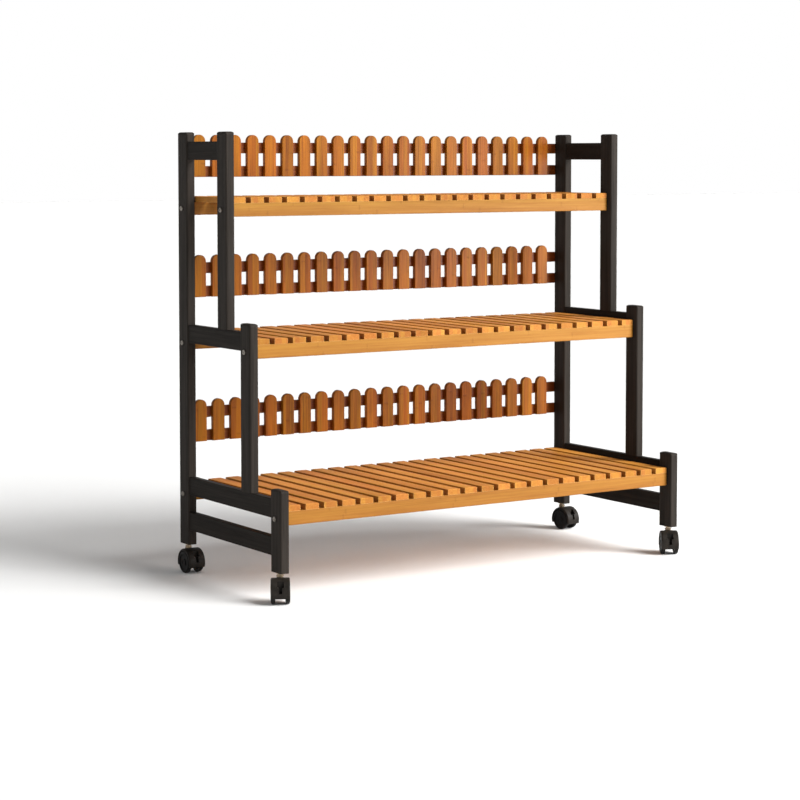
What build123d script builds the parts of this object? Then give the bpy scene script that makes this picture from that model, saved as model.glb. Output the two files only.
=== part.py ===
from build123d import *
import os

# Plant pot caddy: two dark side frames, three slatted shelves stepped like stairs,
# a small picket fence behind each shelf, and four twin-wheel swivel casters.
# Lengths are in millimetres. While a part is being shaped, x runs from the outer face of the
# left side frame, y from the front face of the front posts towards the rear, z up from the floor.

# ---- whole caddy ----
FRAME_WIDTH = 872.0
CASTER_HEIGHT = 51.7          # floor to the underside of the posts
# Middle of the caddy's whole outline, casters included, measured from the side frame's corner.
OUTLINE_CENTRE_X = 430.92
OUTLINE_CENTRE_Y = 177.71

# How far a cutting shape runs past the surface it cuts, and a hole past the end of its screw.
CUT_PAST = 1.0
HOLE_PAST = 1.5

# ---- posts ----
POST_WIDTH = 17.0
POST_DEPTH = 35.0
POST_ROUNDING = 3.0
POST_TOP_ROUNDING = 5.0
REAR_POST_Y = 334.0
REAR_FACE_Y = REAR_POST_Y + POST_DEPTH
CENTRE_X = POST_WIDTH / 2

# ---- rails that run front to rear in each side frame ----
SIDE_RAIL_WIDTH = 13.0
SIDE_RAIL_HEIGHT = 33.0
SIDE_RAIL_ROUNDING = 1.5
TOP_RAIL_Z = 750.0            # undersides
MIDDLE_RAIL_Z = 420.0
BOTTOM_RAIL_Z = 143.0
STRETCHER_Z = 78.5

# ---- the three tiers: front post position, deck height, fence top ----
TIERS = {
    "top": {"front": 186.5, "deck": 684.7, "post_top": 800.0, "fence_top": 796.0},
    "middle": {"front": 104.0, "deck": 441.0, "post_top": 468.5, "fence_top": 577.0},
    "bottom": {"front": 0.0, "deck": 165.2, "post_top": 193.3, "fence_top": 312.0},
}

# ---- shelves ----
SHELF_RAIL_DEPTH = 18.0
SHELF_RAIL_HEIGHT = 24.0
SHELF_RAIL_SETBACK = 11.0     # behind the face of the front post
SHELF_REAR_Y = 363.0          # rear face of the rear shelf rails
SHELF_RAIL_END_ROUNDING = 3.0
SHELF_RAIL_EDGE_ROUNDING = 1.2
SLAT_COUNT = 23
SLAT_WIDTH = 26.0
SLAT_THICKNESS = 10.0
SLAT_EDGE_ROUNDING = 1.2
SLAT_END_CLEARANCE = 2.0      # between the outermost slat and the side frame

# ---- picket fences ----
PICKET_COUNT = 22
PICKET_WIDTH = 24.0
PICKET_THICKNESS = 8.0
PICKET_HEIGHT = 77.0
PICKET_PITCH = 37.06
PICKET_ROUNDING = 1.0
FENCE_LEFT_GAP = 12.0         # left rear post to the first picket
FENCE_RAIL_THICKNESS = 7.0
FENCE_RAIL_HEIGHT = 20.0
FENCE_RAIL_RISE = {"lower": 0.0, "upper": 43.0}   # above the underside of the pickets
FENCE_RAIL_END = 5.0          # distance of the rail's end from the frame's outer face
FENCE_RAIL_ROUNDING = 1.0

# ---- fasteners ----
PIN_FIT = 0.05                # radial play of a screw or dowel in its hole
BOLT_SETBACK = 20.0           # behind the front face of the post
BOLT_RADIUS = 2.5
BOLT_LENGTH = 54.0
BOLT_HEAD_RADIUS = 4.5
BOLT_HEAD_HEIGHT = 2.0
BOLT_HEAD_ROUNDING = 0.8
BOLT_SOCKET_RADIUS = 1.7
BOLT_SOCKET_DEPTH = 1.4
BARREL_NUT_INSET = 33.0       # from the end of the shelf rail
BARREL_NUT_RADIUS = 4.0
BARREL_NUT_LENGTH = 12.0
BARREL_NUT_DEPTH = 18.5       # depth of its pocket, drilled from below
DOWEL_RADIUS = 3.0
DOWEL_REACH = 12.0            # into each of the two joined pieces
DOWEL_SPREAD = 9.0            # either side of the rail's centre
DOWEL_HOLE_PAST = 0.5         # glue room at each end of a dowel
SLAT_SCREW = {"radius": 1.6, "head_radius": 2.8, "head_height": 2.0, "length": 24.0, "recess": 6.0}
SLAT_SCREW_OFFSET = 4.8       # from the rail's centre line, clear of the bolts
PICKET_SCREW = {"radius": 1.4, "head_radius": 2.6, "head_height": 1.4, "length": 10.0, "recess": 1.6}
FENCE_SCREW = {"radius": 1.8, "head_radius": 3.4, "head_height": 2.0, "length": 24.0, "recess": 2.4}

# ---- casters, shaped with the stem on the z axis and the wheels trailing towards +y ----
WHEEL_RADIUS = 20.0
WHEEL_TRAIL = 11.0
WHEEL_INNER = 8.8             # inner and outer face of a wheel, from the caster's centre plane
WHEEL_OUTER = 16.4
WHEEL_INNER_ROUNDING = 1.2
WHEEL_OUTER_ROUNDING = 3.0
HUB_RADIUS = 6.5
RIM_INNER_RADIUS = 15.0
RIM_RECESS = 1.2
WHEEL_HOLLOW_DEPTH = 3.6
CAP_RADIUS = 4.2              # shallow dish in the middle of the hub
CAP_DEPTH = 0.5
AXLE_RADIUS = 2.5
AXLE_HALF_LENGTH = 14.6
AXLE_BORE_END = 14.9
HOOD_HALF_WIDTH = 16.2
HOOD_RADIUS = 24.5
HOOD_BOTTOM = 12.2
HOOD_EDGE_ROUNDING = 2.4
BOSS_FOOT = {"radius": 9.0, "z": 35.0}        # tapered boss round the stem
BOSS_TOP = {"radius": 6.2, "z": 43.4}
WHEEL_POCKET_RADIUS = 21.0
WHEEL_POCKET_INNER = 8.2
T_SLOT_BAR = {"width": 11.4, "low": 31.0, "high": 40.4}
T_SLOT_LEG = {"width": 5.2, "low": 21.0, "high": 31.0}
T_SLOT_FLOOR_Y = 23.0
STEM_PIN_RADIUS = 4.0
STEM_PIN_BOTTOM = 27.4
STEM_SOCKET_BOTTOM = 27.0
STEM_SOCKET_RADIUS = 4.08
COLLAR_BOTTOM = 44.7
COLLAR_TOP = 48.0
COLLAR_RADIUS = 6.4           # across the corners of the hexagon
COLLAR_CHAMFER = 0.7
STEM_TOP = 76.0
INSERT_RADIUS = 5.5
INSERT_LENGTH = 14.0
INSERT_BORE_RADIUS = 4.06
FLANGE_RADIUS = 7.2           # of the insert, against the underside of the post
FLANGE_THICKNESS = 1.2
STEM_HOLE_TOP = 78.0

# Where each caster stands and how far it is turned from trailing straight to the rear.
CASTERS = {
    "front_left": {"x": CENTRE_X, "y": POST_DEPTH / 2, "turn": 151.6},
    "front_right": {"x": FRAME_WIDTH - CENTRE_X, "y": POST_DEPTH / 2, "turn": 148.6},
    "rear_left": {"x": CENTRE_X, "y": REAR_POST_Y + POST_DEPTH / 2, "turn": 180.0},
    "rear_right": {"x": FRAME_WIDTH - CENTRE_X, "y": REAR_POST_Y + POST_DEPTH / 2, "turn": 187.0},
}

LOW_CORNER = (Align.MIN, Align.MIN, Align.MIN)
ON_BASE = (Align.CENTER, Align.CENTER, Align.MIN)
SIDES = {"left": 0.0, "right": FRAME_WIDTH - POST_WIDTH}


def block(x, y, z, width, depth, height):
    """Box given by its low corner and size."""
    return Pos(x, y, z) * Box(width, depth, height, align=LOW_CORNER)


def rod(radius, start, end):
    """Round bar between two points."""
    start = Vector(*start)
    run = Vector(*end) - start
    return Plane(origin=start, z_dir=run) * Cylinder(radius, run.length, align=ON_BASE)


def deck_rail_z(tier):
    """Underside of the shelf rails of a tier."""
    return TIERS[tier]["deck"] - SLAT_THICKNESS - SHELF_RAIL_HEIGHT


def shelf_front_y(tier):
    return TIERS[tier]["front"] + SHELF_RAIL_SETBACK


def shelf_rail_y(tier, row):
    """Front face of the front or rear rail of a shelf."""
    if row == "front":
        return shelf_front_y(tier)
    return SHELF_REAR_Y - SHELF_RAIL_DEPTH


# ---- fasteners -------------------------------------------------------------------------------

def screw(spec, head_at, direction):
    """Plain screw: head_at is the middle of the outer face of its head."""
    outer = Vector(*head_at)
    along = Vector(*direction)
    neck = outer + along * spec["head_height"]
    tip = neck + along * spec["length"]
    return rod(spec["head_radius"], outer, neck) + rod(spec["radius"], neck, tip)


def screw_hole(spec, surface_at, direction):
    """Drilling for a screw whose head is sunk below the surface."""
    surface = Vector(*surface_at)
    along = Vector(*direction)
    floor = surface + along * (spec["recess"] + spec["head_height"])
    tip = floor + along * (spec["length"] + HOLE_PAST)
    return [rod(spec["head_radius"] + PIN_FIT, surface, floor), rod(spec["radius"] + PIN_FIT, floor, tip)]


def sunk_screw(spec, surface_at, direction):
    surface = Vector(*surface_at)
    return screw(spec, surface + Vector(*direction) * spec["recess"], direction)


def bolt_centres():
    """Outer end and inward direction of every shelf bolt."""
    centres = []
    for tier, sizes in TIERS.items():
        z = deck_rail_z(tier) + SHELF_RAIL_HEIGHT / 2
        for y in (sizes["front"] + BOLT_SETBACK, REAR_POST_Y + BOLT_SETBACK):
            centres.append((0.0, y, z, 1))
            centres.append((FRAME_WIDTH, y, z, -1))
    return centres


def shelf_bolt(x, y, z, inward):
    face = x - inward * BOLT_HEAD_HEIGHT
    head = rod(BOLT_HEAD_RADIUS, (face, y, z), (x, y, z))
    head = fillet(head.edges().group_by(Axis.X)[0 if inward > 0 else -1], BOLT_HEAD_ROUNDING)
    shank = rod(BOLT_RADIUS, (x, y, z), (x + inward * BOLT_LENGTH, y, z))
    socket = Plane(origin=(face, y, z), z_dir=(inward, 0, 0)) * extrude(
        RegularPolygon(BOLT_SOCKET_RADIUS, 6), BOLT_SOCKET_DEPTH)
    return head + shank - socket


def bolt_hole(x, y, z, inward):
    start = (x - inward * CUT_PAST, y, z)
    return rod(BOLT_RADIUS + PIN_FIT, start, (x + inward * (BOLT_LENGTH + HOLE_PAST), y, z))


def barrel_nut_x(x, inward):
    return x + inward * (POST_WIDTH + BARREL_NUT_INSET)


def barrel_nut(x, y, z, inward):
    centre = barrel_nut_x(x, inward)
    low = z - BARREL_NUT_LENGTH / 2
    body = rod(BARREL_NUT_RADIUS, (centre, y, low), (centre, y, low + BARREL_NUT_LENGTH))
    return body - bolt_hole(x, y, z, inward)


def barrel_nut_pocket(x, y, z, inward):
    centre = barrel_nut_x(x, inward)
    bottom = z - SHELF_RAIL_HEIGHT / 2
    start = (centre, y, bottom - CUT_PAST)
    return rod(BARREL_NUT_RADIUS + PIN_FIT, start, (centre, y, bottom + BARREL_NUT_DEPTH))


# ---- side frames -----------------------------------------------------------------------------

def side_rail_spans():
    """Front and rear end and underside of the rails in a side frame."""
    rear = REAR_POST_Y
    return {
        "top_rail": (TIERS["top"]["front"] + POST_DEPTH, rear, TOP_RAIL_Z),
        "middle_rail": (TIERS["middle"]["front"] + POST_DEPTH, rear, MIDDLE_RAIL_Z),
        "bottom_rail": (POST_DEPTH, rear, BOTTOM_RAIL_Z),
        "stretcher": (POST_DEPTH, rear, STRETCHER_Z),
    }


def post_spans():
    """Front face, underside and top of the posts in a side frame."""
    return {
        "rear_post": (REAR_POST_Y, CASTER_HEIGHT, TIERS["top"]["post_top"]),
        "top_post": (TIERS["top"]["front"], MIDDLE_RAIL_Z + SIDE_RAIL_HEIGHT, TIERS["top"]["post_top"]),
        "middle_post": (TIERS["middle"]["front"], BOTTOM_RAIL_Z + SIDE_RAIL_HEIGHT,
                        TIERS["middle"]["post_top"]),
        "front_post": (0.0, CASTER_HEIGHT, TIERS["bottom"]["post_top"]),
    }


def dowel_lines(side_x):
    """Both ends of every dowel in one side frame."""
    x = side_x + CENTRE_X
    lines = []
    for front, rear, z in side_rail_spans().values():
        middle = z + SIDE_RAIL_HEIGHT / 2
        for joint_y in (front, rear):
            for dz in (-DOWEL_SPREAD, DOWEL_SPREAD):
                lines.append(((x, joint_y - DOWEL_REACH, middle + dz),
                              (x, joint_y + DOWEL_REACH, middle + dz)))
    for name in ("top_post", "middle_post"):
        front, joint_z, _ = post_spans()[name]
        for dy in (-DOWEL_SPREAD, DOWEL_SPREAD):
            y = front + POST_DEPTH / 2 + dy
            lines.append(((x, y, joint_z - DOWEL_REACH), (x, y, joint_z + DOWEL_REACH)))
    return lines


def dowel_holes(side_x):
    holes = []
    for start, end in dowel_lines(side_x):
        run = (Vector(*end) - Vector(*start)).normalized() * DOWEL_HOLE_PAST
        holes.append(rod(DOWEL_RADIUS + PIN_FIT, Vector(*start) - run, Vector(*end) + run))
    return holes


def stem_holes(side):
    """Drilling under the front and rear post for the caster's insert and stem."""
    holes = []
    for name, caster in CASTERS.items():
        if name.endswith(side):
            foot = (caster["x"], caster["y"])
            holes.append(rod(INSERT_RADIUS + PIN_FIT, (*foot, CASTER_HEIGHT - CUT_PAST),
                             (*foot, CASTER_HEIGHT + INSERT_LENGTH)))
            holes.append(rod(STEM_PIN_RADIUS + PIN_FIT, (*foot, CASTER_HEIGHT), (*foot, STEM_HOLE_TOP)))
    return holes


def fence_screw_points():
    """Middle of every screw head that holds a fence rail to a rear post."""
    points = []
    for tier in TIERS:
        for rise in FENCE_RAIL_RISE.values():
            z = fence_bottom(tier) + rise + FENCE_RAIL_HEIGHT / 2
            for x in (CENTRE_X, FRAME_WIDTH - CENTRE_X):
                points.append((x, REAR_FACE_Y + FENCE_RAIL_THICKNESS, z))
    return points


def fence_screw_holes():
    return [hole for point in fence_screw_points() for hole in screw_hole(FENCE_SCREW, point, (0, -1, 0))]


def round_topped(width, height):
    """Upright rectangle with its two upper corners rounded."""
    outline = Rectangle(width, height, align=(Align.CENTER, Align.MIN))
    return fillet(outline.vertices().group_by(Axis.Y)[-1], POST_TOP_ROUNDING)


def plain_post(side_x, front, low, high):
    """Post with softened corners and a rounded top, where its three rounded outlines meet."""
    height = high - low
    body = extrude(RectangleRounded(POST_WIDTH, POST_DEPTH, POST_ROUNDING), height)
    body &= extrude(Plane.XZ * round_topped(POST_WIDTH, height), POST_DEPTH, both=True)
    body &= extrude(Plane.YZ * round_topped(POST_DEPTH, height), POST_WIDTH, both=True)
    return Pos(side_x + POST_WIDTH / 2, front + POST_DEPTH / 2, low) * body


def plain_side_rail(side_x, front, rear, low):
    inset = (POST_WIDTH - SIDE_RAIL_WIDTH) / 2
    body = block(side_x + inset, front, low, SIDE_RAIL_WIDTH, rear - front, SIDE_RAIL_HEIGHT)
    return fillet(body.edges().filter_by(Axis.Y), SIDE_RAIL_ROUNDING)


def touching(body, cutters):
    """Only the cutters that reach the body."""
    box = body.bounding_box()
    near = []
    for cutter in cutters:
        other = cutter.bounding_box()
        apart = (other.min.X > box.max.X or other.max.X < box.min.X
                 or other.min.Y > box.max.Y or other.max.Y < box.min.Y
                 or other.min.Z > box.max.Z or other.max.Z < box.min.Z)
        if not apart:
            near.append(cutter)
    return near


def drill(body, cutters):
    near = touching(body, cutters)
    return body - near if near else body


def side_frame(side):
    """Posts and rails of one side frame, drilled."""
    side_x = SIDES[side]
    cutters = dowel_holes(side_x) + stem_holes(side) + fence_screw_holes()
    cutters += [bolt_hole(*centre) for centre in bolt_centres()]
    members = {}
    for name, (front, low, high) in post_spans().items():
        members[f"{side}_{name}"] = drill(plain_post(side_x, front, low, high), cutters)
    for name, (front, rear, low) in side_rail_spans().items():
        members[f"{side}_{name}"] = drill(plain_side_rail(side_x, front, rear, low), cutters)
    return members


def frame_dowels():
    lines = dowel_lines(SIDES["left"]) + dowel_lines(SIDES["right"])
    return Compound([rod(DOWEL_RADIUS, start, end) for start, end in lines])


# ---- shelves ---------------------------------------------------------------------------------

def slat_centres():
    first = POST_WIDTH + SLAT_END_CLEARANCE + SLAT_WIDTH / 2
    pitch = (FRAME_WIDTH - 2 * first) / (SLAT_COUNT - 1)
    return [first + pitch * number for number in range(SLAT_COUNT)]


def slat_screw_ys(tier):
    """Lines of screws through the front and the rear rail."""
    centres = [shelf_rail_y(tier, row) + SHELF_RAIL_DEPTH / 2 for row in ("front", "rear")]
    return [centres[0] - SLAT_SCREW_OFFSET, centres[1] + SLAT_SCREW_OFFSET]


def slat_screw_points(tier, x):
    return [(x, y, deck_rail_z(tier)) for y in slat_screw_ys(tier)]


def shelf_slats(tier):
    length = SHELF_REAR_Y - shelf_front_y(tier)
    low = TIERS[tier]["deck"] - SLAT_THICKNESS
    slat = block(-SLAT_WIDTH / 2, shelf_front_y(tier), low, SLAT_WIDTH, length, SLAT_THICKNESS)
    slat = fillet(slat.faces().sort_by(Axis.Z)[-1].edges(), SLAT_EDGE_ROUNDING)
    holes = []
    for point in slat_screw_points(tier, 0.0):
        holes += screw_hole(SLAT_SCREW, point, (0, 0, 1))
    slat = drill(slat, holes)
    return Compound([Pos(x, 0, 0) * slat for x in slat_centres()])


def shelf_rail(tier, row):
    length = FRAME_WIDTH - 2 * POST_WIDTH
    y = shelf_rail_y(tier, row)
    body = block(POST_WIDTH, y, deck_rail_z(tier), length, SHELF_RAIL_DEPTH, SHELF_RAIL_HEIGHT)
    body = fillet(body.edges().filter_by(Axis.Z), SHELF_RAIL_END_ROUNDING)
    flat_faces = body.faces().sort_by(Axis.Z)
    body = fillet(flat_faces[0].edges() + flat_faces[-1].edges(), SHELF_RAIL_EDGE_ROUNDING)
    cutters = [bolt_hole(*centre) for centre in bolt_centres()]
    cutters += [barrel_nut_pocket(*centre) for centre in bolt_centres()]
    for x in slat_centres():
        for point in slat_screw_points(tier, x):
            cutters += screw_hole(SLAT_SCREW, point, (0, 0, 1))
    return drill(body, cutters)


def slat_screws():
    points = [point for tier in TIERS for x in slat_centres() for point in slat_screw_points(tier, x)]
    return Compound([sunk_screw(SLAT_SCREW, point, (0, 0, 1)) for point in points])


# ---- picket fences ---------------------------------------------------------------------------

def fence_bottom(tier):
    return TIERS[tier]["fence_top"] - PICKET_HEIGHT


def picket_centres():
    first = POST_WIDTH + FENCE_LEFT_GAP + PICKET_WIDTH / 2
    return [first + PICKET_PITCH * number for number in range(PICKET_COUNT)]


def picket_screw_points(tier, x):
    rear = REAR_FACE_Y + FENCE_RAIL_THICKNESS
    return [(x, rear, fence_bottom(tier) + rise + FENCE_RAIL_HEIGHT / 2) for rise in FENCE_RAIL_RISE.values()]


def pickets(tier):
    """Row of upright pickets with half-round tops, in front of the fence rails."""
    straight = PICKET_HEIGHT - PICKET_WIDTH / 2
    outline = Rectangle(PICKET_WIDTH, straight, align=(Align.CENTER, Align.MIN))
    outline += Pos(0, straight) * Circle(PICKET_WIDTH / 2)
    rear_plane = Plane(origin=(0, REAR_FACE_Y, fence_bottom(tier)), x_dir=(1, 0, 0), z_dir=(0, -1, 0))
    picket = rear_plane * extrude(outline, PICKET_THICKNESS)
    front_face = picket.faces().sort_by(Axis.Y)[0]
    picket = fillet(front_face.edges(), PICKET_ROUNDING)
    holes = []
    for point in picket_screw_points(tier, 0.0):
        holes += screw_hole(PICKET_SCREW, point, (0, -1, 0))
    picket = drill(picket, holes)
    return Compound([Pos(x, 0, 0) * picket for x in picket_centres()])


def fence_rail(tier, level):
    low = fence_bottom(tier) + FENCE_RAIL_RISE[level]
    length = FRAME_WIDTH - 2 * FENCE_RAIL_END
    body = block(FENCE_RAIL_END, REAR_FACE_Y, low, length, FENCE_RAIL_THICKNESS, FENCE_RAIL_HEIGHT)
    body = fillet(body.edges().filter_by(Axis.X), FENCE_RAIL_ROUNDING)
    cutters = fence_screw_holes()
    for x in picket_centres():
        for point in picket_screw_points(tier, x):
            cutters += screw_hole(PICKET_SCREW, point, (0, -1, 0))
    return drill(body, cutters)


def picket_screws():
    points = [point for tier in TIERS for x in picket_centres() for point in picket_screw_points(tier, x)]
    return Compound([sunk_screw(PICKET_SCREW, point, (0, -1, 0)) for point in points])


def fence_screws():
    return Compound([sunk_screw(FENCE_SCREW, point, (0, -1, 0)) for point in fence_screw_points()])


# ---- casters ---------------------------------------------------------------------------------

def across(radius, start_x, end_x):
    """Round bar along the axle line of a caster."""
    return rod(radius, (start_x, WHEEL_TRAIL, WHEEL_RADIUS), (end_x, WHEEL_TRAIL, WHEEL_RADIUS))


def across_ring(outer, inner, start_x, end_x):
    return across(outer, start_x, end_x) - across(inner, start_x, end_x)


def wheel(hand):
    """One of the two wheels: hand is -1 or 1 along the axle."""
    inner = hand * WHEEL_INNER
    outer = hand * WHEEL_OUTER
    body = across(WHEEL_RADIUS, inner, outer)
    inner_end, outer_end = (0, -1) if hand > 0 else (-1, 0)
    body = fillet(body.edges().filter_by(GeomType.CIRCLE).sort_by(Axis.X)[outer_end], WHEEL_OUTER_ROUNDING)
    body = fillet(body.edges().filter_by(GeomType.CIRCLE).sort_by(Axis.X)[inner_end], WHEEL_INNER_ROUNDING)
    past = hand * CUT_PAST
    body -= across_ring(RIM_INNER_RADIUS, HUB_RADIUS, outer - hand * RIM_RECESS, outer + past)
    body -= across_ring(RIM_INNER_RADIUS, HUB_RADIUS, inner - past, inner + hand * WHEEL_HOLLOW_DEPTH)
    body -= across(CAP_RADIUS, outer - hand * CAP_DEPTH, outer + past)
    return body - across(AXLE_RADIUS + PIN_FIT, inner - past, hand * AXLE_BORE_END)


def axle():
    return across(AXLE_RADIUS, -AXLE_HALF_LENGTH, AXLE_HALF_LENGTH)


def t_slot():
    """T-shaped recess in the trailing face of the hood."""
    depth = 2 * HOOD_RADIUS
    cuts = [block(-part["width"] / 2, T_SLOT_FLOOR_Y, part["low"], part["width"], depth,
                  part["high"] - part["low"]) for part in (T_SLOT_BAR, T_SLOT_LEG)]
    return cuts[0] + cuts[1]


def stem_boss():
    height = BOSS_TOP["z"] - BOSS_FOOT["z"]
    return Pos(0, 0, BOSS_FOOT["z"]) * Cone(BOSS_FOOT["radius"], BOSS_TOP["radius"], height, align=ON_BASE)


def hood():
    """Caster body: a round fender over both wheels, with a web between them for axle and stem."""
    body = across(HOOD_RADIUS, -HOOD_HALF_WIDTH, HOOD_HALF_WIDTH)
    body -= Pos(0, WHEEL_TRAIL, HOOD_BOTTOM) * Box(
        2 * HOOD_RADIUS, 4 * HOOD_RADIUS, 2 * HOOD_RADIUS, align=(Align.CENTER, Align.CENTER, Align.MAX))
    side_faces = body.faces().sort_by(Axis.X)
    body = fillet(side_faces[0].edges() + side_faces[-1].edges(), HOOD_EDGE_ROUNDING)
    body += stem_boss()
    for hand in (-1, 1):
        body -= across(WHEEL_POCKET_RADIUS, hand * WHEEL_POCKET_INNER, hand * (HOOD_HALF_WIDTH + CUT_PAST))
    body -= across(AXLE_RADIUS + PIN_FIT, -HOOD_HALF_WIDTH, HOOD_HALF_WIDTH)
    body -= rod(STEM_SOCKET_RADIUS, (0, 0, STEM_SOCKET_BOTTOM), (0, 0, BOSS_TOP["z"] + CUT_PAST))
    return body - t_slot()


def stem():
    """Swivel pin, hexagon collar and threaded shank."""
    body = rod(STEM_PIN_RADIUS, (0, 0, STEM_PIN_BOTTOM), (0, 0, STEM_TOP))
    collar = Pos(0, 0, COLLAR_BOTTOM) * extrude(RegularPolygon(COLLAR_RADIUS, 6), COLLAR_TOP - COLLAR_BOTTOM)
    collar = chamfer(collar.faces().sort_by(Axis.Z)[-1].edges(), COLLAR_CHAMFER)
    return body + collar


def insert():
    """Flanged metal sleeve in the foot of a post that takes the caster's stem."""
    flange_low = CASTER_HEIGHT - FLANGE_THICKNESS
    top = CASTER_HEIGHT + INSERT_LENGTH
    sleeve = rod(INSERT_RADIUS, (0, 0, flange_low), (0, 0, top))
    sleeve += rod(FLANGE_RADIUS, (0, 0, flange_low), (0, 0, CASTER_HEIGHT))
    return sleeve - rod(INSERT_BORE_RADIUS, (0, 0, flange_low - CUT_PAST), (0, 0, top + CUT_PAST))


def at_caster(name, shape):
    caster = CASTERS[name]
    return Pos(caster["x"], caster["y"], 0) * Rot(0, 0, caster["turn"]) * shape


def caster_nodes():
    nodes = {}
    for name in CASTERS:
        nodes[f"{name}_hood"] = at_caster(name, hood())
        nodes[f"{name}_axle"] = at_caster(name, axle())
        nodes[f"{name}_wheel_a"] = at_caster(name, wheel(-1))
        nodes[f"{name}_wheel_b"] = at_caster(name, wheel(1))
    nodes["caster_stems"] = Compound([at_caster(name, stem()) for name in CASTERS])
    nodes["caster_inserts"] = Compound([at_caster(name, insert()) for name in CASTERS])
    return nodes


# ---- the whole caddy -------------------------------------------------------------------------

def shelf_and_fence_nodes():
    nodes = {}
    for tier in TIERS:
        for row in ("front", "rear"):
            nodes[f"{tier}_shelf_{row}_rail"] = shelf_rail(tier, row)
        nodes[f"{tier}_slats"] = shelf_slats(tier)
        for level in FENCE_RAIL_RISE:
            nodes[f"{tier}_fence_{level}_rail"] = fence_rail(tier, level)
        nodes[f"{tier}_pickets"] = pickets(tier)
    return nodes


def fastener_nodes():
    return {
        "shelf_bolts": Compound([shelf_bolt(*centre) for centre in bolt_centres()]),
        "barrel_nuts": Compound([barrel_nut(*centre) for centre in bolt_centres()]),
        "frame_dowels": frame_dowels(),
        "slat_screws": slat_screws(),
        "picket_screws": picket_screws(),
        "fence_screws": fence_screws(),
    }


def caddy_nodes():
    nodes = {}
    for side in SIDES:
        nodes.update(side_frame(side))
    nodes.update(shelf_and_fence_nodes())
    nodes.update(fastener_nodes())
    nodes.update(caster_nodes())
    return nodes


def main():
    os.makedirs("parts", exist_ok=True)
    to_origin = Pos(-OUTLINE_CENTRE_X, -OUTLINE_CENTRE_Y, 0)
    low = Vector(1e9, 1e9, 1e9)
    high = Vector(-1e9, -1e9, -1e9)
    for name, shape in caddy_nodes().items():
        placed = to_origin * shape
        export_step(placed, f"parts/{name}.step")
        box = placed.bounding_box()
        low = Vector(min(low.X, box.min.X), min(low.Y, box.min.Y), min(low.Z, box.min.Z))
        high = Vector(max(high.X, box.max.X), max(high.Y, box.max.Y), max(high.Z, box.max.Z))
        print(name, len(placed.solids()), round(placed.volume))
    print("outline from", low, "to", high)


main()
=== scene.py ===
import math
import bpy
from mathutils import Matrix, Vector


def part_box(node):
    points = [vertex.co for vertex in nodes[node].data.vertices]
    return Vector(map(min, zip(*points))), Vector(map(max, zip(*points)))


# Plant pot caddy: looks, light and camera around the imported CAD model. Lengths are in metres.

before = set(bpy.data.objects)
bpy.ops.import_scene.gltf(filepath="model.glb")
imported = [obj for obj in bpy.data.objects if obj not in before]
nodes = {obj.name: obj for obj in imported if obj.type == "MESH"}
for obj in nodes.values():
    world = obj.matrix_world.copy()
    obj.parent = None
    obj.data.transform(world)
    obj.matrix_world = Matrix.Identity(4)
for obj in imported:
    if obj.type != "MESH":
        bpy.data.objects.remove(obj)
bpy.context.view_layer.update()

# ---- camera: off the left front corner, a little below the top of the stand ------------------
CAMERA_PLACE = (-2.2566, -3.3424, 0.7575)
CAMERA_HEADING = 33.136       # degrees from straight at the front, towards the right
CAMERA_DIP = 3.467            # degrees below level
CAMERA_LENS = 98.155          # mm, on a sensor CAMERA_SENSOR mm wide
CAMERA_SENSOR = 36.0
CAMERA_SHIFT = -0.14

# ---- light: a broad key from the front right, a lamp near the right end, and a dome of sky ---
KEY_HEADING = 33.0            # degrees to the right of straight in front
KEY_HEIGHT = 36.0             # degrees above level
KEY_STRENGTH = 5.2
KEY_SPREAD = 36.0             # apparent size in degrees, for soft shadows
SIDE_PLACE = (1.3, -1.3, 0.6)
SIDE_HEADING = 45.0           # degrees that it is turned to the left, to face the stand
SIDE_SIZE = 0.8
SIDE_POWER = 26.0
SKY_LOW = 1.0                 # brightness near the horizon, up to SKY_LOW_UNTIL
SKY_HIGH = 0.34               # brightness from SKY_HIGH_FROM upwards
SKY_LOW_UNTIL = 0.08          # heights as the sine of the angle above level
SKY_HIGH_FROM = 0.22
FLOOR_REACH = 30.0            # from the middle to each edge

# ---- rows of pieces that share one node: how many, and how wide each is ----------------------
SLATS = (23, 0.026)
PICKETS = (22, 0.024)

# ---- bamboo: glued up from long strips, with darker joints along each strip ------------------
STRIP_WIDTH = 0.0088
KNUCKLE_SPACING = 0.23        # distance between the joints of a strip
KNUCKLE_WIDTH = 0.012         # as a share of that distance
KNUCKLE_FRAYING = 0.03        # how far the grain moves a joint's border, as the same share
KNUCKLE_STRENGTH = 0.22
PIECE_TONES = (0.88, 1.1)     # brightness of the darkest and the lightest piece
STRIP_TONES = (0.94, 1.06)    # the same for the strips
STRIP_HUES = (0.492, 0.508)   # on the shader's scale, where 0.5 changes nothing
PIECE_STREAM = 3.0            # separate streams of random numbers
STRIP_STREAM = 7.0
PIECE_SHIFT = 40.0            # how far apart the grain of two pieces can be
PIECE_CODE = 17.0             # keeps the strips of one piece apart from the next piece's
STRIP_STAGGER = 7.0           # joint spacings by which one strip can be ahead of another

# ---- grain: changes of tone per metre, across it and along it --------------------------------
FIBRES = (1900.0, 26.0)
STREAKS = (330.0, 5.0)
CLOUDS = (22.0, 4.0)
PORES = (900.0, 18.0)         # in the painted wood, as are the bands
BANDS = (150.0, 4.0)
FIBRE_SHARE = 0.45            # of the fibres, against the streaks
GRAIN_SHARE = 0.65            # of fibres and streaks together, against the clouds
PORE_SHARE = 0.5              # of the pores, against the bands
BAMBOO_RANGE = (0.36, 0.64)   # noise values that give the dark tone and the light tone
PAINT_RANGE = (0.36, 0.66)
PAINT_SHIFT = 30.0            # how far apart the grain of two painted pieces can be

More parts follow.
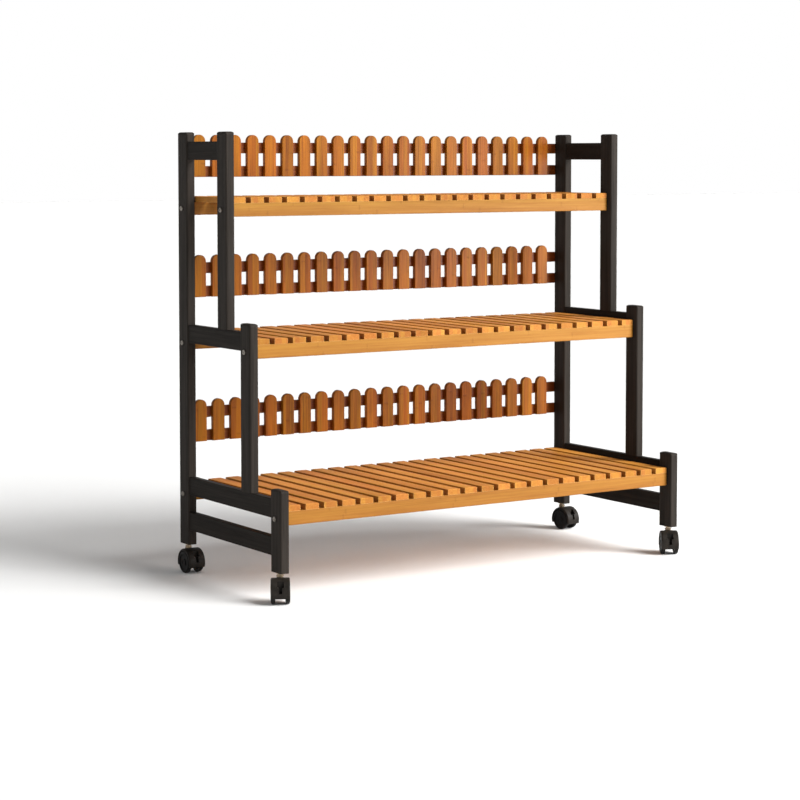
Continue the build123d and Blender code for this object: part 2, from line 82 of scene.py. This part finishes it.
# ---- other patterns: changes of tone per metre, and the noise values where each begins and is full
SCUFFS = 60.0
SCUFF_RANGE = (0.42, 0.68)
PLASTIC_CLOUDS = 90.0
CLOUD_RANGE = (0.35, 0.65)
PLASTIC_GRAIN = 2600.0
DUST_SPECKS = 400.0
SPECK_RANGE = (0.4, 0.7)
MACHINING_LINES = 1400.0
DULL_SPOTS = 220.0
DULL_RANGE = (0.35, 0.7)
FLOOR_MOTTLE = 3.0
GLOSS_RANGE = (0.3, 0.7)      # noise values between which the roughness changes
NOISE_ROUGHNESS = 0.55

# ---- relief and edges ------------------------------------------------------------------------
FIBRE_RELIEF = 0.00012
KNUCKLE_RELIEF = 0.00015
PAINT_RELIEF = 0.00022
PLASTIC_RELIEF = 0.00004
METAL_RELIEF = 0.00002
BAMBOO_HIGHLIGHT_REACH = 0.0012          # how far from a corner the painted edge highlight on bamboo reaches
BAMBOO_HIGHLIGHT_STRENGTH = 0.4
PAINT_EDGE = 0.0015
PAINT_EDGE_STRENGTH = 0.5
EDGE_NONE = 0.995             # cosine between the rounded and the true direction of the surface
EDGE_FULL = 0.85
SQUARE_FROM = 0.6             # how squarely an end or side has to face its axis to be darkened; the sides' darkening is painted shade
SQUARE_FULL = 0.9
DUST_HEIGHT = 0.012           # floor dust fades out this far up

# ---- finishes --------------------------------------------------------------------------------
# Colours are given the way a screen shows them and turned into light values for the shader.
# "roughness" goes from the low noise values to the high ones, and "shine" is the specular level.
# "ends" is the brightness of a bamboo piece's sawn ends. The narrow sides' value is painted shade: on the
# slats it darkens their sides for the shade in the gaps between them.
# The bamboo edge colour is a painted highlight: lighter edges that stand in for edges catching the light.
BAMBOO = {
    "slat": {"light": (204, 138, 64), "dark": (167, 104, 42), "knuckle": (104, 56, 18),
             "edge_highlight": (240, 196, 126), "roughness": (0.6, 0.44), "shine": 0.06, "ends": 0.7, "side_shade": 0.68},
    "rail": {"light": (156, 109, 41), "dark": (125, 77, 22), "knuckle": (96, 54, 16),
             "edge_highlight": (214, 168, 96), "roughness": (0.6, 0.44), "shine": 0.13, "ends": 0.9, "side_shade": 1.0},
    # The picket tones are partly the bamboo's own darker colour and partly painted shade, darkened for the
    # shade on the lower fences.
    "picket": {"light": (166, 99, 20), "dark": (96, 49, 8), "knuckle": (62, 26, 4),
               "edge_highlight": (186, 122, 44), "roughness": (0.46, 0.3), "shine": 0.09, "ends": 0.9, "side_shade": 1.0},
    # The fence rail tones are the pickets' bamboo darkened as painted shade, for the shade the pickets cast
    # on the rails behind them.
    "fence": {"light": (124, 65, 20), "dark": (86, 41, 10), "knuckle": (52, 20, 4),
              "edge_highlight": (146, 82, 28), "roughness": (0.42, 0.26), "shine": 0.16, "ends": 0.9, "side_shade": 1.0},
    "dowel": {"light": (190, 156, 108), "dark": (160, 124, 78), "knuckle": (120, 90, 54),
              "edge_highlight": (190, 156, 108), "roughness": (0.62, 0.46), "shine": 0.13, "ends": 0.9, "side_shade": 1.0},
}
PAINT = {
    "upright": {"light": (53, 48, 44), "dark": (34, 31, 28), "wear_and_highlight": (96, 84, 70)},
    # The level tones are the upright paint darkened as painted shade on the level members.
    "level": {"light": (42, 38, 34), "dark": (26, 23, 21), "wear_and_highlight": (88, 76, 62)},
}
PAINT_ROUGHNESS = (0.52, 0.38)
PAINT_SHINE = 0.025
PLASTIC = {
    "hood": {"light": (38, 34, 30), "dark": (25, 22, 19), "dust": (62, 56, 50), "dusting": 0.25},
    "wheel": {"light": (20, 18, 16), "dark": (12, 11, 10), "dust": (50, 45, 40), "dusting": 0.45},
}
PLASTIC_ROUGHNESS = (0.34, 0.5)
PLASTIC_SHINE = 0.12
# "lines" is how many times closer together the machining lines are along the piece's height.
METAL = {
    "zinc_plate": {"light": (148, 142, 134), "dark": (106, 100, 92),
                   "roughness": (0.32, 0.5), "lines": 1.0},
    "screw_plate": {"light": (180, 178, 170), "dark": (134, 132, 126),
                    "roughness": (0.3, 0.5), "lines": 1.0},
    "yellow_zinc": {"light": (176, 158, 134), "dark": (124, 108, 90),
                    "roughness": (0.22, 0.4), "lines": 4.0},
    "insert_metal": {"light": (188, 162, 116), "dark": (142, 120, 84),
                     "roughness": (0.28, 0.45), "lines": 1.0},
}
FLOOR_TONES = ((226, 226, 225), (232, 232, 231))
FLOOR_ROUGHNESS = 0.9


def light_value(channel):
    """Screen value 0-255 of one channel as linear light."""
    share = channel / 255
    return share / 12.92 if share <= 0.04045 else ((share + 0.055) / 1.055) ** 2.4


def colour(rgb):
    return tuple(light_value(channel) for channel in rgb) + (1.0,)


# ---- node building ---------------------------------------------------------------------------

class Recipe:
    """A node material under construction."""

    def __init__(self, name):
        self.material = bpy.data.materials.new(name)
        self.material.use_nodes = True
        self.tree = self.material.node_tree
        self.shader = self.tree.nodes["Principled BSDF"]

    def feed(self, socket, value):
        if isinstance(value, bpy.types.NodeSocket):
            self.tree.links.new(value, socket)
        else:
            socket.default_value = value

    def math(self, operation, first, second=0.0, third=0.0):
        node = self.tree.nodes.new("ShaderNodeMath")
        node.operation = operation
        for socket, value in zip(node.inputs, (first, second, third)):
            self.feed(socket, value)
        return node.outputs[0]

    def weigh(self, first, share, second):
        """Average of two values, with the first one's share given."""
        first_part = self.math("MULTIPLY", first, share)
        return self.math("ADD", first_part, self.math("MULTIPLY", second, 1 - share))

    def split(self, vector):
        """The x, y and z of a vector, by name."""
        parts = self.tree.nodes.new("ShaderNodeSeparateXYZ")
        self.feed(parts.inputs[0], vector)
        return dict(zip("XYZ", parts.outputs))

    def axes(self):
        """Separate x, y and z of the piece's own coordinates."""
        return self.split(self.tree.nodes.new("ShaderNodeTexCoord").outputs["Object"])

    def facing(self):
        """How squarely the surface faces each of the piece's own axes, 0 to 1."""
        outward = self.split(self.tree.nodes.new("ShaderNodeTexCoord").outputs["Normal"])
        return {axis: self.math("ABSOLUTE", part) for axis, part in outward.items()}

    def vector(self, x, y, z):
        node = self.tree.nodes.new("ShaderNodeCombineXYZ")
        for socket, value in zip(node.inputs, (x, y, z)):
            self.feed(socket, value)
        return node.outputs[0]

    def noise(self, vector, shift, scale=1.0, detail=3.0):
        node = self.tree.nodes.new("ShaderNodeTexNoise")
        node.noise_dimensions = "4D"
        self.feed(node.inputs["Vector"], vector)
        self.feed(node.inputs["W"], shift)
        node.inputs["Scale"].default_value = scale
        node.inputs["Detail"].default_value = detail
        node.inputs["Roughness"].default_value = NOISE_ROUGHNESS
        return node.outputs["Fac"]

    def wood_noise(self, layout, rates, shift, detail):
        """Noise drawn out along the grain; layout is two coordinates across it and one along it."""
        first, second, along = layout
        rate_across, rate_along = rates
        where = self.vector(self.math("MULTIPLY", first, rate_across),
                            self.math("MULTIPLY", second, rate_across),
                            self.math("MULTIPLY", along, rate_along))
        return self.noise(where, shift, detail=detail)

    def random(self, value, stream):
        """A fixed random number for each whole value."""
        node = self.tree.nodes.new("ShaderNodeTexWhiteNoise")
        node.noise_dimensions = "2D"
        self.feed(node.inputs["Vector"], self.vector(value, stream, 0.0))
        return node.outputs["Value"]

    def spread(self, value, low, high, to_low=0.0, to_high=1.0, smooth=False):
        node = self.tree.nodes.new("ShaderNodeMapRange")
        node.interpolation_type = "SMOOTHSTEP" if smooth else "LINEAR"
        self.feed(node.inputs["Value"], value)
        node.inputs["From Min"].default_value = low
        node.inputs["From Max"].default_value = high
        node.inputs["To Min"].default_value = to_low
        node.inputs["To Max"].default_value = to_high
        return node.outputs["Result"]

    def blend(self, share, first, second):
        """Colour going from the first to the second as share goes from 0 to 1."""
        node = self.tree.nodes.new("ShaderNodeMix")
        node.data_type = "RGBA"
        colour_inputs = [socket for socket in node.inputs if socket.type == "RGBA"]
        self.feed(node.inputs[0], share)
        self.feed(colour_inputs[0], first)
        self.feed(colour_inputs[1], second)
        return next(socket for socket in node.outputs if socket.type == "RGBA")

    def tint(self, base, brightness, hue=0.5):
        node = self.tree.nodes.new("ShaderNodeHueSaturation")
        self.feed(node.inputs["Hue"], hue)
        self.feed(node.inputs["Value"], brightness)
        self.feed(node.inputs["Color"], base)
        return node.outputs["Color"]

    def relief(self, height, depth, under=None):
        """Bumps depth metres high, on top of another relief where one is given."""
        node = self.tree.nodes.new("ShaderNodeBump")
        node.inputs["Distance"].default_value = depth
        node.inputs["Strength"].default_value = 1.0
        self.feed(node.inputs["Height"], height)
        if under is not None:
            self.feed(node.inputs["Normal"], under)
        return node.outputs["Normal"]

    def edges(self, reach):
        """1 on sharp outer edges, 0 on flats, from a rounded copy of the surface direction."""
        rounded = self.tree.nodes.new("ShaderNodeBevel")
        rounded.samples = 4
        rounded.inputs["Radius"].default_value = reach
        plain = self.tree.nodes.new("ShaderNodeNewGeometry")
        dot = self.tree.nodes.new("ShaderNodeVectorMath")
        dot.operation = "DOT_PRODUCT"
        self.feed(dot.inputs[0], rounded.outputs["Normal"])
        self.feed(dot.inputs[1], plain.outputs["Normal"])
        return self.spread(dot.outputs["Value"], EDGE_NONE, EDGE_FULL, smooth=True)

    def finish(self, base, roughness, normal=None, shine=0.5, metallic=0.0):
        inputs = self.shader.inputs
        self.feed(inputs["Base Color"], base)
        self.feed(inputs["Roughness"], roughness)
        if normal is not None:
            self.feed(inputs["Normal"], normal)
        inputs["Specular IOR Level"].default_value = shine
        inputs["Metallic"].default_value = metallic
        return self.material


# ---- wood ------------------------------------------------------------------------------------

def piece_number(recipe, along_x, node_name, count, width):
    """Which slat or picket of a row a point belongs to."""
    low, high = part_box(node_name)
    pitch = (high.x - low.x - width) / (count - 1)
    past_first = recipe.math("SUBTRACT", along_x, low.x + width / 2)
    return recipe.math("ROUND", recipe.math("DIVIDE", past_first, pitch))


def knuckles(recipe, along, strip_random, streak):
    """1 in the joints of a strip, 0 between them; each strip has them at other places."""
    spacings = recipe.math("ADD", recipe.math("DIVIDE", along, KNUCKLE_SPACING),
                           recipe.math("MULTIPLY", strip_random, STRIP_STAGGER))
    from_joint = recipe.math("ABSOLUTE", recipe.math("SUBTRACT", recipe.math("FRACT", spacings), 0.5))
    frayed = recipe.math("MULTIPLY_ADD", recipe.math("SUBTRACT", streak, 0.5), KNUCKLE_FRAYING, from_joint)
    return recipe.spread(frayed, KNUCKLE_WIDTH, 0.0, smooth=True)


def bamboo(name, kind, grain, across, depth, seed, row=None):
    """Glued bamboo strips: long fibres, a tone for each strip and piece, and darker joints.

    grain, across and depth are the piece's axes. row is a node of several pieces, with their
    count and width, so that each gets its own tone.
    """
    finish = BAMBOO[kind]
    recipe = Recipe(name)
    axes = recipe.axes()
    number = piece_number(recipe, axes["X"], *row) if row else seed
    piece_random = recipe.random(number, seed + PIECE_STREAM)
    shift = recipe.math("MULTIPLY_ADD", piece_random, PIECE_SHIFT, seed)
    strip = recipe.math("FLOOR", recipe.math("DIVIDE", axes[across], STRIP_WIDTH))
    strip_code = recipe.math("MULTIPLY_ADD", number, PIECE_CODE, strip)
    strip_random = recipe.random(strip_code, seed + STRIP_STREAM)

    layout = (axes[across], axes[depth], axes[grain])
    fine = recipe.wood_noise(layout, FIBRES, shift, detail=2.0)
    streak = recipe.wood_noise(layout, STREAKS, shift, detail=3.0)
    cloud = recipe.wood_noise(layout, CLOUDS, shift, detail=2.0)
    fibre = recipe.weigh(fine, FIBRE_SHARE, streak)
    lightness = recipe.spread(recipe.weigh(fibre, GRAIN_SHARE, cloud), *BAMBOO_RANGE)
    base = recipe.blend(lightness, colour(finish["dark"]), colour(finish["light"]))
    knuckle = knuckles(recipe, axes[grain], strip_random, streak)
    stain = recipe.math("MULTIPLY", knuckle, KNUCKLE_STRENGTH)
    base = recipe.blend(stain, base, colour(finish["knuckle"]))

    brightness = recipe.math("MULTIPLY", recipe.spread(piece_random, 0.0, 1.0, *PIECE_TONES),
                             recipe.spread(strip_random, 0.0, 1.0, *STRIP_TONES))
    base = recipe.tint(base, brightness, recipe.spread(strip_random, 0.0, 1.0, *STRIP_HUES))
    facing = recipe.facing()
    ends = recipe.spread(facing[grain], SQUARE_FROM, SQUARE_FULL, 1.0, finish["ends"])
    # Painted shade: the narrow sides are darkened, on the slats for the shade in the gaps between them.
    side_shade = recipe.spread(facing[across], SQUARE_FROM, SQUARE_FULL, 1.0, finish["side_shade"])
    base = recipe.tint(base, recipe.math("MULTIPLY", ends, side_shade))
    # Painted highlight: every bamboo edge is lightened toward the edge colour, as if catching the light.
    wear_and_highlight = recipe.math("MULTIPLY", recipe.edges(BAMBOO_HIGHLIGHT_REACH), BAMBOO_HIGHLIGHT_STRENGTH)
    base = recipe.blend(wear_and_highlight, base, colour(finish["edge_highlight"]))

    roughness = recipe.spread(fibre, *GLOSS_RANGE, *finish["roughness"])
    normal = recipe.relief(knuckle, KNUCKLE_RELIEF, recipe.relief(fibre, FIBRE_RELIEF))
    return recipe.finish(base, roughness, normal, finish["shine"])


def painted_wood(name, kind, grain, across, depth):
    """Dark satin paint over wood, with the grain showing through and rubbed edges."""
    finish = PAINT[kind]
    recipe = Recipe(name)
    axes = recipe.axes()
    own = recipe.tree.nodes.new("ShaderNodeObjectInfo").outputs["Random"]
    shift = recipe.math("MULTIPLY", own, PAINT_SHIFT)
    layout = (axes[across], axes[depth], axes[grain])
    pores = recipe.wood_noise(layout, PORES, shift, detail=3.0)
    bands = recipe.wood_noise(layout, BANDS, shift, detail=2.0)
    tone = recipe.weigh(pores, PORE_SHARE, bands)
    lightness = recipe.spread(tone, *PAINT_RANGE)
    base = recipe.blend(lightness, colour(finish["dark"]), colour(finish["light"]))
    scuffs = recipe.noise(recipe.vector(*axes.values()), shift, scale=SCUFFS, detail=4.0)
    rubbed = recipe.math("MULTIPLY", recipe.edges(PAINT_EDGE), recipe.spread(scuffs, *SCUFF_RANGE))
    wear_and_highlight = recipe.math("MULTIPLY", rubbed, PAINT_EDGE_STRENGTH)
    base = recipe.blend(wear_and_highlight, base, colour(finish["wear_and_highlight"]))
    roughness = recipe.spread(tone, *GLOSS_RANGE, *PAINT_ROUGHNESS)
    return recipe.finish(base, roughness, recipe.relief(tone, PAINT_RELIEF), PAINT_SHINE)


# ---- plastic and metal -----------------------------------------------------------------------

def plastic(name, kind):
    """Moulded black plastic with a fine grain, and floor dust on its lowest part."""
    finish = PLASTIC[kind]
    recipe = Recipe(name)
    axes = recipe.axes()
    where = recipe.vector(*axes.values())
    cloud = recipe.noise(where, shift=1.0, scale=PLASTIC_CLOUDS)
    grain = recipe.noise(where, shift=2.0, scale=PLASTIC_GRAIN, detail=2.0)
    lightness = recipe.spread(cloud, *CLOUD_RANGE)
    base = recipe.blend(lightness, colour(finish["dark"]), colour(finish["light"]))
    low_down = recipe.spread(axes["Z"], DUST_HEIGHT, 0.0, smooth=True)
    specks = recipe.spread(recipe.noise(where, shift=5.0, scale=DUST_SPECKS), *SPECK_RANGE)
    dust = recipe.math("MULTIPLY", recipe.math("MULTIPLY", low_down, specks), finish["dusting"])
    base = recipe.blend(dust, base, colour(finish["dust"]))
    roughness = recipe.spread(cloud, *GLOSS_RANGE, *PLASTIC_ROUGHNESS)
    return recipe.finish(base, roughness, recipe.relief(grain, PLASTIC_RELIEF), PLASTIC_SHINE)


def plated_metal(name):
    """Plated steel or brass with fine machining lines and slight dulling."""
    finish = METAL[name]
    recipe = Recipe(name)
    axes = recipe.axes()
    where = recipe.vector(axes["X"], axes["Y"], recipe.math("MULTIPLY", axes["Z"], finish["lines"]))
    lines = recipe.noise(where, shift=1.5, scale=MACHINING_LINES, detail=2.0)
    dulling = recipe.noise(where, shift=4.5, scale=DULL_SPOTS)
    dullness = recipe.spread(dulling, *DULL_RANGE)
    base = recipe.blend(dullness, colour(finish["light"]), colour(finish["dark"]))
    roughness = recipe.spread(lines, *GLOSS_RANGE, *finish["roughness"])
    return recipe.finish(base, roughness, recipe.relief(lines, METAL_RELIEF), metallic=1.0)


# ---- giving every CAD node its material ------------------------------------------------------

def dress(node_name, material):
    mesh = nodes[node_name].data
    mesh.materials.clear()
    mesh.materials.append(material)


def dress_frame():
    upright = painted_wood("paint_upright", "upright", "Z", "X", "Y")
    # The level members get the same paint as the uprights, darker as painted shade.
    level = painted_wood("paint_level_shaded", "level", "Y", "Z", "X")
    for side in ("left", "right"):
        for post in ("rear_post", "top_post", "middle_post", "front_post"):
            dress(f"{side}_{post}", upright)
        for rail in ("top_rail", "middle_rail", "bottom_rail", "stretcher"):
            dress(f"{side}_{rail}", level)


def dress_bamboo(node, kind, grain, across, depth, seed, row=None):
    dress(node, bamboo(f"bamboo_{node}", kind, grain, across, depth, seed, row))


def dress_tier(tier, seed):
    """Seeds count up through the tier's nodes, so that no two have the same grain."""
    slats = f"{tier}_slats"
    pickets = f"{tier}_pickets"
    dress_bamboo(slats, "slat", "Y", "X", "Z", seed, (slats, *SLATS))
    dress_bamboo(pickets, "picket", "Z", "X", "Y", seed + 1, (pickets, *PICKETS))
    for step, end in enumerate(("front", "rear"), 2):
        dress_bamboo(f"{tier}_shelf_{end}_rail", "rail", "X", "Z", "Y", seed + step)
    for step, level in enumerate(("lower", "upper"), 4):
        dress_bamboo(f"{tier}_fence_{level}_rail", "fence", "X", "Z", "Y", seed + step)


def dress_fasteners():
    zinc = plated_metal("zinc_plate")
    screws = plated_metal("screw_plate")
    dress("shelf_bolts", zinc)
    dress("barrel_nuts", zinc)
    for name in ("slat_screws", "picket_screws", "fence_screws"):
        dress(name, screws)
    dress("frame_dowels", bamboo("dowel_wood", "dowel", "Y", "X", "Z", seed=60.0))


def dress_casters():
    shell = plastic("hood_plastic", "hood")
    tread = plastic("wheel_plastic", "wheel")
    steel = plated_metal("yellow_zinc")
    dress("caster_stems", steel)
    dress("caster_inserts", plated_metal("insert_metal"))
    for corner in ("front_left", "front_right", "rear_left", "rear_right"):
        dress(f"{corner}_hood", shell)
        dress(f"{corner}_axle", steel)
        dress(f"{corner}_wheel_a", tread)
        dress(f"{corner}_wheel_b", tread)


# ---- studio ----------------------------------------------------------------------------------

def place(name, data, location, turn):
    """Put a lamp, the camera or the floor into the scene, turned by degrees about X, Y and Z."""
    thing = bpy.data.objects.new(name, data)
    thing.location = location
    thing.rotation_euler = [math.radians(angle) for angle in turn]
    bpy.context.scene.collection.objects.link(thing)
    return thing


def add_floor():
    reach = FLOOR_REACH
    mesh = bpy.data.meshes.new("floor")
    corners = [(-reach, -reach, 0.0), (reach, -reach, 0.0), (reach, reach, 0.0), (-reach, reach, 0.0)]
    mesh.from_pydata(corners, [], [(0, 1, 2, 3)])
    recipe = Recipe("floor_paper")
    axes = recipe.axes()
    mottle = recipe.noise(recipe.vector(axes["X"], axes["Y"], 0.0), shift=0.0, scale=FLOOR_MOTTLE)
    base = recipe.blend(mottle, *[colour(tone) for tone in FLOOR_TONES])
    mesh.materials.append(recipe.finish(base, FLOOR_ROUGHNESS))
    place("floor", mesh, (0.0, 0.0, 0.0), (0.0, 0.0, 0.0))


def add_key():
    light = bpy.data.lights.new("key", "SUN")
    light.energy = KEY_STRENGTH
    light.angle = math.radians(KEY_SPREAD)
    place("key", light, (0.0, 0.0, 0.0), (90 - KEY_HEIGHT, 0.0, KEY_HEADING))


def add_side_lamp():
    """A softbox near the right end, so the light fades towards the left end."""
    light = bpy.data.lights.new("side", "AREA")
    light.shape = "DISK"
    light.size = SIDE_SIZE
    light.energy = SIDE_POWER
    lamp = place("side", light, SIDE_PLACE, (90.0, 0.0, SIDE_HEADING))
    lamp.visible_camera = False


def add_sky():
    world = bpy.data.worlds.new("studio")
    world.use_nodes = True
    tree = world.node_tree
    background = tree.nodes["Background"]
    direction = tree.nodes.new("ShaderNodeTexCoord").outputs["Generated"]
    parts = tree.nodes.new("ShaderNodeSeparateXYZ")
    fade = tree.nodes.new("ShaderNodeMapRange")
    fade.interpolation_type = "SMOOTHSTEP"
    fade.inputs["From Min"].default_value = SKY_LOW_UNTIL
    fade.inputs["From Max"].default_value = SKY_HIGH_FROM
    fade.inputs["To Min"].default_value = SKY_LOW
    fade.inputs["To Max"].default_value = SKY_HIGH
    tree.links.new(direction, parts.inputs[0])
    tree.links.new(parts.outputs["Z"], fade.inputs["Value"])
    tree.links.new(fade.outputs["Result"], background.inputs["Strength"])
    background.inputs["Color"].default_value = (1.0, 1.0, 1.0, 1.0)
    bpy.context.scene.world = world


def add_camera():
    data = bpy.data.cameras.new("camera")
    data.lens = CAMERA_LENS
    data.sensor_width = CAMERA_SENSOR
    data.shift_y = CAMERA_SHIFT
    bpy.context.scene.camera = place("camera", data, CAMERA_PLACE, (90 - CAMERA_DIP, 0.0, -CAMERA_HEADING))


dress_frame()
for tier_name, tier_seed in (("top", 10.0), ("middle", 20.0), ("bottom", 30.0)):
    dress_tier(tier_name, tier_seed)
dress_fasteners()
dress_casters()
add_floor()
add_key()
add_side_lamp()
add_sky()
add_camera()
bpy.context.scene.view_settings.view_transform = "Standard"
